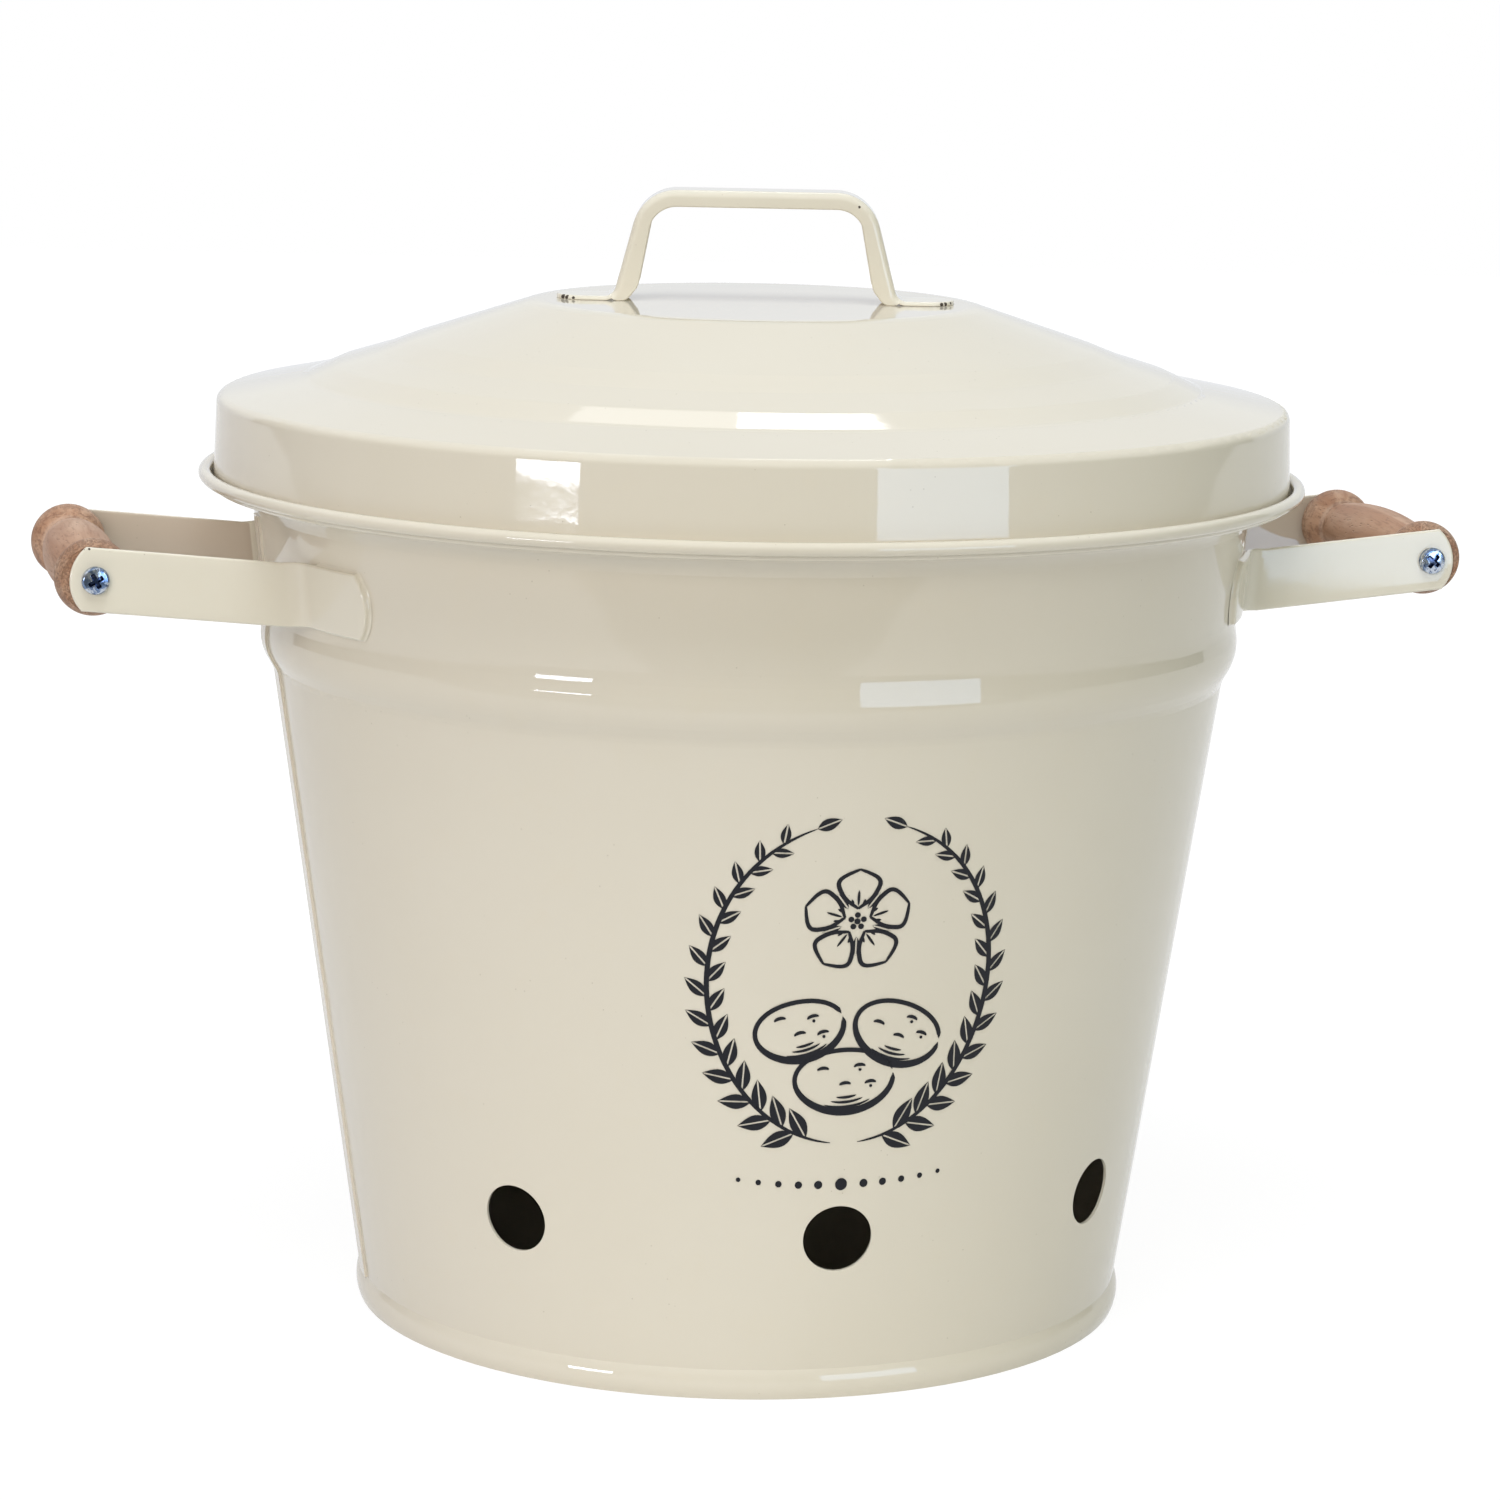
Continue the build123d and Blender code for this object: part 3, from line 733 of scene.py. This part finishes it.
def beech(name):
    """Oiled wood: long fibres along the grip, soft bands, open pores, a pale line along each
    groove with torn grain beside it, and rough end grain on the turned beads."""
    f = Finish(name)
    x, y, z = f.axes(f.place)
    drawn = f.vector(x, y * 0.10, z)
    short = f.vector(x, y * 0.30, z)
    tight = f.vector(x, y * 1.6, z)
    fibre = f.noise(1100.0, 4.0, 0.6, at=drawn)
    bands = f.noise(150.0, 3.0, 0.55, at=drawn, distortion=0.8)
    cloud = f.noise(60.0, 3.0)
    tone = f.blend(bands.ramp(0.32, 0.68), paint(196, 160, 134), paint(160, 117, 90))
    tone = f.blend(cloud.ramp(0.40, 0.66) * 0.5, tone, paint(176, 132, 104))
    tone = f.blend(fibre.ramp(0.50, 0.72) * 0.45, tone, paint(122, 84, 62))
    pore = f.cells(900.0, at=short).ramp(0.30, 0.14) * f.noise(160.0, 2.0).ramp(0.42, 0.56)
    tone = f.blend(pore * 0.30, tone, paint(104, 70, 52))
    from_groove = (y.size() - GROOVE_Y * MM).size()
    tone = f.blend(from_groove.ramp(0.0012, 0.0004) * 0.28, tone, paint(205, 186, 172))
    tears = f.noise(240.0, 4.0, 0.7, at=tight).ramp(0.50, 0.62)
    torn = from_groove.ramp(0.009, 0.004) * tears
    tone = f.blend(torn * 0.45, tone, paint(118, 80, 60))
    sawn = y.size().ramp(0.0345, 0.0385) * f.noise(1300.0, 3.0, 0.7).ramp(0.46, 0.58)
    tone = f.blend(sawn * 0.55, tone, paint(112, 82, 60))
    height = fibre * 0.35 - pore * 0.5 - torn * 0.6 - sawn * 0.5
    return f.close(Base_Color=tone, Roughness=bands * 0.12 + 0.46,
                   Normal=f.relief(height, 0.00022), IOR=1.46)


def zinc(name):
    """Bright blue-passivated plating: pale steel with painted reflections, patches of deeper blue
    and darker blue spots that stand in for a dark room mirrored in it, fine scratches and painted
    shade in the cross."""
    f = Finish(name)
    hollow = f.add("ShaderNodeAttribute", {"attribute_name": "hollow"})["Fac"]
    # Painted reflection: patches of deeper blue and darker spots stand in for a dark room
    # mirrored in the metal.
    painted_reflection = f.noise(420.0, 3.0, 0.6, distortion=1.2)
    tone = f.blend(painted_reflection.ramp(0.44, 0.58), paint(200, 208, 220), paint(118, 138, 170))
    tone = f.blend(f.noise(900.0, 2.0).ramp(0.58, 0.68) * 0.7, tone, paint(50, 64, 98))
    # Painted shade: the sunk cross is darkened towards deep blue.
    tone = f.blend(hollow.ramp(0.0, 0.6) * 0.85, tone, paint(38, 52, 88))
    scratch = f.noise(1500.0, 3.0)
    return f.close(Base_Color=tone, Metallic=1.0, Roughness=scratch * 0.14 + 0.10,
                   Normal=f.relief(scratch, 0.00002))


def wire(name):
    """Drawn steel wire: grey, dull, with fine lines round it."""
    f = Finish(name)
    drawn = f.noise(1200.0, 3.0)
    tone = f.blend(drawn, paint(150, 150, 152), paint(112, 110, 108))
    return f.close(Base_Color=tone, Metallic=1.0, Roughness=drawn * 0.2 + 0.3,
                   Normal=f.relief(drawn, 0.00002))


def ink(name):
    """Screen-printed ink fired into the paint: blue-black, slightly uneven, as glossy."""
    f = Finish(name)
    wear = f.noise(500.0, 3.0, 0.7)
    tone = f.blend(wear.ramp(0.66, 0.78) * 0.4, INK, paint(70, 70, 76))
    return f.close(Base_Color=tone, Roughness=wear * 0.08 + 0.10,
                   Normal=f.relief(wear, 0.000006), IOR=1.5, Specular_IOR_Level=0.3)


# --- chips: places in millimetres and their radii -----------------------------------------
def chip_on_strap(s, h, radius):
    """Chip on the outside of the left front strap."""
    spot = along_strap(np.array(s), np.array(h), np.array(half_thick))
    return tuple(handle_place(spot, -1, -1)), radius


def chip_on_lid_handle(x, y, z, radius):
    return tuple(lid_place(x, y, z)), radius


lid_handle_chips = [
    chip_on_lid_handle(-57.2, -5.7, 0.8, 0.9), chip_on_lid_handle(-56.0, -7.0, 0.7, 0.8),
    chip_on_lid_handle(-53.9, -8.3, 0.6, 0.5), chip_on_lid_handle(58.2, -4.3, 0.8, 0.55),
    chip_on_lid_handle(56.6, -6.5, 0.7, 0.7), chip_on_lid_handle(55.4, -7.5, 0.6, 0.7),
    chip_on_lid_handle(30.2, -9.2, 29.0, 0.40),
]
strap_chips = [
    chip_on_strap(58.0, 8.6, 0.42), chip_on_strap(56.4, 8.8, 0.34),
    chip_on_strap(-bend_length - 27.6, -6.9, 0.6), chip_on_strap(-bend_length - 26.9, -8.0, 0.6),
]

bin_paint = enamel("bin_enamel", wave_depth=0.00016)
lid_paint = enamel("lid_enamel", wave_depth=0.00009)
handle_paint = enamel("handle_enamel", wave_depth=0.000004, peel=0.004, cream=CREAM_PALE,
                      marks=lid_handle_chips)
# the strap finish carries painted shade on its faces towards the grips
strap_paint = enamel("strap_enamel", wave_depth=0.00004, peel=0.03, cream=CREAM_PALE,
                     inner=CREAM_PAINTED_SHADE, marks=strap_chips)
wood = beech("oiled_beech")
plating = zinc("zinc_plate")
wire_steel = wire("wire_steel")
print_ink = ink("print_ink")

for node, finish in (("bin_wall", bin_paint), ("base_pan", bin_paint), ("rim_wire", wire_steel),
                     ("lid_shell", lid_paint)):
    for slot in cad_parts[node].material_slots:
        slot.material = finish


# --- pieces ----------------------------------------------------------------------------
def stands_for(made, node, body):
    """Let a piece ride its body in place of a node, and hide that node."""
    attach(made, body)
    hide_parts(node)


channel = skin("lid_handle_channel", [lid_handle_grid()], handle_paint)
stands_for(channel, "lid_handle", "lid")
for name, side in (("left", -1), ("right", 1)):
    turned = skin(f"{name}_turned_grip", [handle_place(grip_grid(), side, 1)], wood)
    stands_for(turned, f"{name}_grip", "bin")
    for place, end in (("front", -1), ("rear", 1)):
        strip = handle_place(along_strap(*strap_grid()), side, end)
        bent = skin(f"{name}_bent_strap_{place}", [strip], strap_paint, wrap=(True, False))
        stands_for(bent, f"{name}_strap_{place}", "bin")
        spots, sunk = screw_grid(0.5 + 0.7 * side + 0.4 * end)
        head = skin(f"{name}_screw_head_{place}", [handle_place(spots, side, end)], plating,
                    crease=28, hollow=sunk)
        stands_for(head, f"{name}_screw_{place}", "bin")

printed = skin("front_print", front_print(), print_ink)
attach(printed, "bin")


# --- studio, in metres -----------------------------------------------------------------
VIEW_TURN = radians(13.5)   # the bin is turned this far from the camera's own axes
FRONT = Vector((-sin(VIEW_TURN), -cos(VIEW_TURN), 0))
ASIDE = Vector((cos(VIEW_TURN), -sin(VIEW_TURN), 0))
SKIRT_LEFT = (-0.085, 0.13, 0.245)      # places that lamps face: aside, to the front and up
SKIRT_RIGHT = (0.085, 0.13, 0.245)
LID_STEPS = (0.0, 0.12, 0.285)
BIN_MIDDLE = (0.0, 0.0, 0.15)
CAMERA_DISTANCE, CAMERA_HEIGHT = 1.41137, 0.42528
CAMERA_PITCH, CAMERA_YAW, CAMERA_ROLL = radians(10.365), radians(0.042), radians(1.117)
FRAME_WIDTH = 1500          # pixels
FOCAL_LENGTH = 4732.24      # pixels
SENSOR_WIDTH = 36.0         # millimetres
FLOOR_HALF_WIDTH, FLOOR_FRONT, FLOOR_BACK = 3, 0.66, -4


def toward(round_deg, up_deg):
    """Direction from the bin: degrees round from the camera's side, to its right, and up."""
    level = FRONT * cos(radians(round_deg)) + ASIDE * sin(radians(round_deg))
    return level * cos(radians(up_deg)) + Vector((0, 0, sin(radians(up_deg))))


def lamp(name, aim, way, distance, size, radiance, colour, sees):
    """Rectangular lamp that faces a place of the bin from a direction in degrees; the radiance
    is about how bright it looks in a mirror, and sees says which rays find it."""
    width, height = size
    light = bpy.data.lights.new(name, "AREA")
    light.shape = "RECTANGLE"
    light.size, light.size_y = width, height
    light.energy = radiance * width * height * 4
    light.color = colour
    made = bpy.data.objects.new(name, light)
    spot = FRONT * aim[1] + ASIDE * aim[0] + Vector((0, 0, aim[2]))
    direction = toward(*way)
    made.matrix_world = Matrix.Translation(spot + direction * distance) @ \
        direction.to_track_quat("Z", "Y").to_matrix().to_4x4()
    made.visible_camera = False
    made.visible_diffuse = sees == "matt"
    made.visible_glossy = sees == "gloss"
    bpy.context.collection.objects.link(made)


def studio_lamps():
    """Two soft lights for the matt part of every finish. In gloss, a window on the left, a white
    card on the right, and a lamp with a weaker one beside it over the back of the lid."""
    window_blue, card_blue, white = (0.84, 0.88, 1.0), (0.50, 0.68, 0.96), (1.0, 1.0, 1.0)
    warm, cool = (1.0, 0.94, 0.90), (0.87, 0.93, 1.0)
    lamp("window", SKIRT_LEFT, (-42, 0.587), 4.0, (0.98, 0.492), 16.5, window_blue, "gloss")
    lamp("white_card", SKIRT_RIGHT, (39.5, 3.2), 4.0, (2.1, 1.67), 3.6, card_blue, "gloss")
    lamp("rear_bank", LID_STEPS, (168, 54.5), 3.0, (0.84, 0.34), 4.0, white, "gloss")
    lamp("rear_glow", LID_STEPS, (171.5, 54.5), 3.3, (2.1, 0.40), 1.0, white, "gloss")
    lamp("key", BIN_MIDDLE, (-20, 18), 2.6, (1.6, 1.4), 2.75, warm, "matt")
    lamp("high_key", BIN_MIDDLE, (-8, 70), 2.4, (1.6, 1.4), 3.9, cool, "matt")


def floor_finish():
    """Matt white paper that a direct look sees as white, less the soft shadow on it, and that
    gloss sees a little dimmer."""
    f = Finish("paper")
    rays = f.add("ShaderNodeLightPath")
    seen = rays["Is Camera Ray"].higher(rays["Is Glossy Ray"])
    matt = f.add("ShaderNodeBsdfDiffuse", None, {"Color": (0.86, 0.86, 0.86, 1.0)})["BSDF"]
    glow = f.blend(rays["Is Camera Ray"], (0.84, 0.845, 0.85, 1.0), WHITE)
    white = f.add("ShaderNodeEmission", None, {"Color": glow, "Strength": 1.08})["Emission"]
    far = f.place.away((0, 0, 0)).ramp(0.24, 0.50) * 0.15 + 0.85
    mixed = f.add("ShaderNodeMixShader", None, {0: seen * far, 1: matt, 2: white})["Shader"]
    f.add("ShaderNodeOutputMaterial", None, {"Surface": mixed})
    return f.material


def paper_floor():
    """Flat sheet square to the camera, from a little in front of the bin to far behind it."""
    mesh = bpy.data.meshes.new("paper_floor")
    corners = [ASIDE * x + FRONT * y for x, y in (
        (-FLOOR_HALF_WIDTH, FLOOR_FRONT), (FLOOR_HALF_WIDTH, FLOOR_FRONT),
        (FLOOR_HALF_WIDTH, FLOOR_BACK), (-FLOOR_HALF_WIDTH, FLOOR_BACK))]
    mesh.from_pydata(corners, [], [(0, 1, 2, 3)])
    mesh.materials.append(floor_finish())
    floor = bpy.data.objects.new("paper_floor", mesh)
    bpy.context.collection.objects.link(floor)


def studio_world():
    """White backdrop to the eye. In gloss it is white behind and above and a dimmer room low in
    front; as light it is even, a little warmer on one side and dark from below."""
    world = bpy.data.worlds.new("studio")
    bpy.context.scene.world = world
    w = Shading(world)
    way = w.add("ShaderNodeTexCoord")["Generated"]
    rays = w.add("ShaderNodeLightPath")
    front = way.along(FRONT)
    aside = way.along(ASIDE)
    up = way.along((0, 0, 1))
    behind = front.ramp(-0.645, -0.685)
    above = up.ramp(0.34, 0.62)
    room = w.blend(aside.ramp(-0.5, 0.5), paint(150, 144, 136), paint(140, 142, 134))
    backdrop = w.blend(up.ramp(0.05, 0.18), (0.84, 0.86, 0.90, 1.0), (0.96, 0.97, 0.97, 1.0))
    gloss = w.blend(behind.higher(above), room, backdrop)
    near = w.blend(aside.ramp(-0.8, 0.8), (0.25, 0.245, 0.24, 1.0), (0.54, 0.59, 0.50, 1.0))
    even = w.blend(front.ramp(0.3, -0.3), near, (0.40, 0.40, 0.40, 1.0))
    even = w.blend(up.ramp(0.0, -0.3), even, (0.03, 0.03, 0.03, 1.0))
    lit = w.blend(rays["Is Glossy Ray"], even, gloss)
    direct = rays["Is Camera Ray"].higher(rays["Is Transmission Ray"])
    seen = w.blend(direct, lit, WHITE)
    back = w.add("ShaderNodeBackground", None, {"Color": seen, "Strength": 1.0})["Background"]
    w.add("ShaderNodeOutputWorld", None, {"Surface": back})


def product_camera():
    """Camera of the product view, from its distance, height, pitch, yaw, roll and the bin's
    turn."""
    forward = Vector((sin(CAMERA_YAW) * cos(CAMERA_PITCH), cos(CAMERA_YAW) * cos(CAMERA_PITCH),
                      -sin(CAMERA_PITCH)))
    level = Vector((cos(CAMERA_YAW), -sin(CAMERA_YAW), 0))
    upright = level.cross(forward)
    right = cos(CAMERA_ROLL) * level + sin(CAMERA_ROLL) * upright
    up = cos(CAMERA_ROLL) * upright - sin(CAMERA_ROLL) * level
    to_bin = Matrix.Rotation(-VIEW_TURN, 3, "Z")
    columns = [to_bin @ axis for axis in (right, up, -forward)]
    place = Matrix(columns).transposed().to_4x4()
    place.translation = to_bin @ Vector((0, -CAMERA_DISTANCE, CAMERA_HEIGHT))
    lens = bpy.data.cameras.new("product_view")
    lens.sensor_width = SENSOR_WIDTH
    lens.lens = FOCAL_LENGTH / FRAME_WIDTH * SENSOR_WIDTH
    lens.clip_start = 0.05
    camera = bpy.data.objects.new("product_view", lens)
    camera.matrix_world = place
    bpy.context.collection.objects.link(camera)
    bpy.context.scene.camera = camera


studio_lamps()
paper_floor()
studio_world()
product_camera()
bpy.context.scene.view_settings.view_transform = "Standard"
